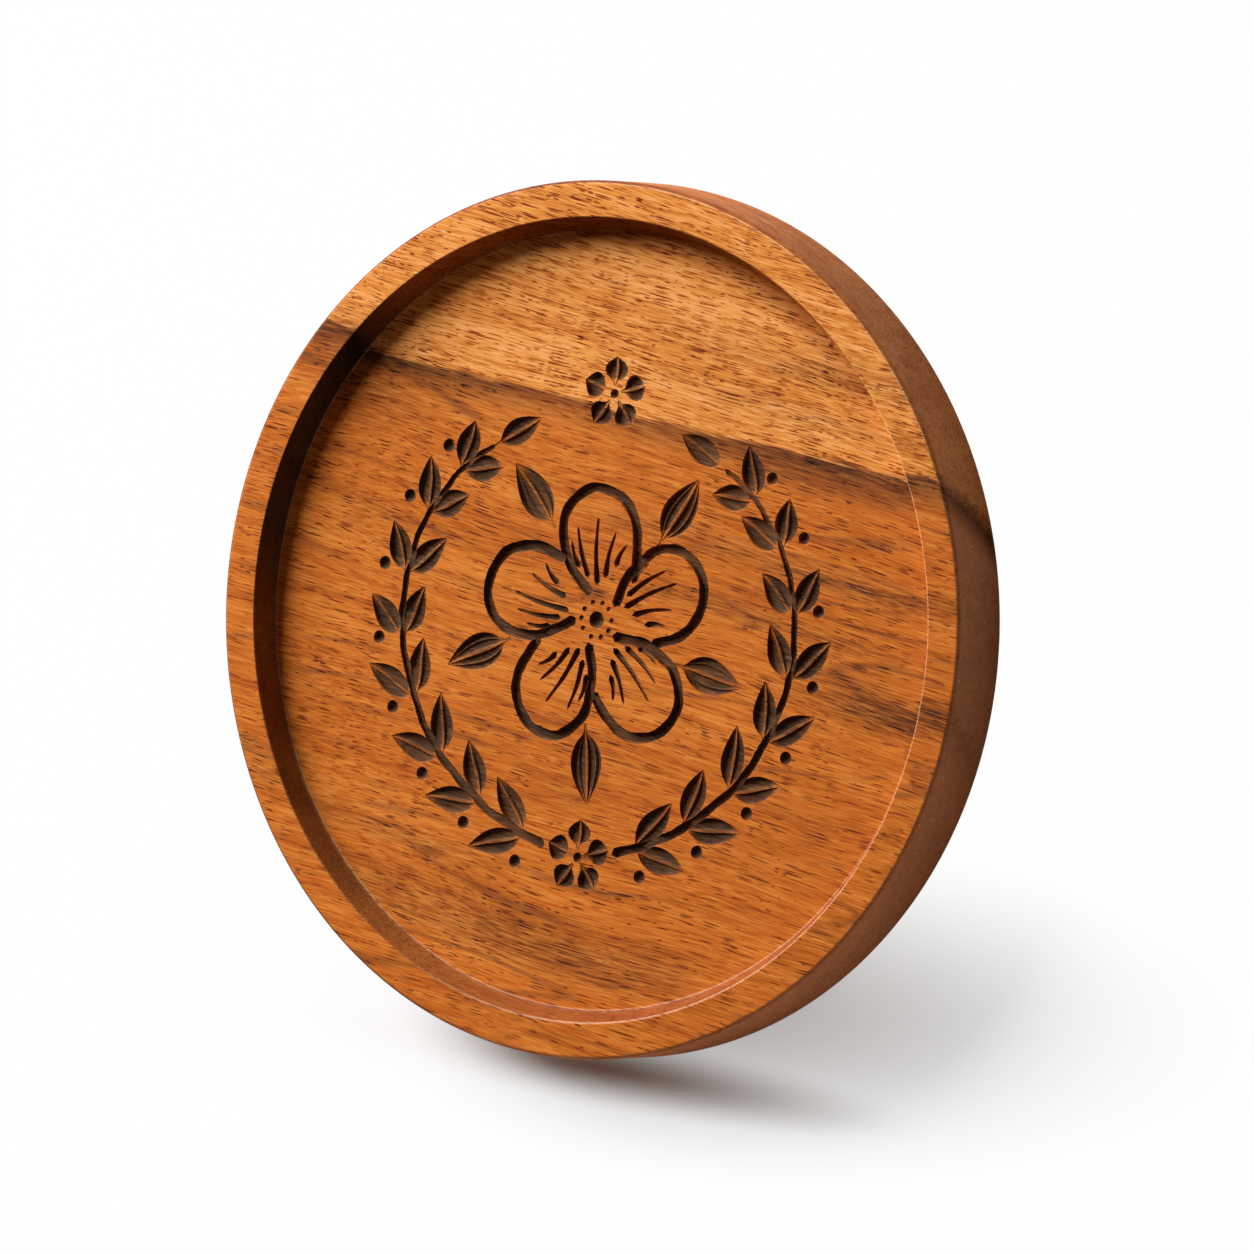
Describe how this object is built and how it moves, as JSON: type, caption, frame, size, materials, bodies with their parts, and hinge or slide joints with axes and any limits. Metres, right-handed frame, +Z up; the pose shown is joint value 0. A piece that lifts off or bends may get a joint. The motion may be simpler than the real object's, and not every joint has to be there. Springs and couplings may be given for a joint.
{
  "type": "drink coaster",
  "caption": "Round turned hardwood drink coaster with a raised rim and a shallow recess for a glass, standing on stick-on rubber feet.",
  "frame": {"origin": "on the table, under the centre of the coaster: the middle of the plane that the feet stand on", "axes": "+Z up out of the recess, +Y towards the top of the carved design, +X to its right; the wood grain runs 9 degrees clockwise of +X, seen from above"},
  "size_m": [0.1, 0.1, 0.0107],
  "materials": {
    "hardwood": "oiled and waxed open-pored tropical hardwood",
    "foot_rubber": "moulded matt rubber"
  },
  "bodies": {
    "root": {"turned_body": "hardwood", "rubber_foot_1": "foot_rubber", "rubber_foot_2": "foot_rubber", "rubber_foot_3": "foot_rubber", "rubber_foot_4": "foot_rubber"}
  },
  "joints": []
}
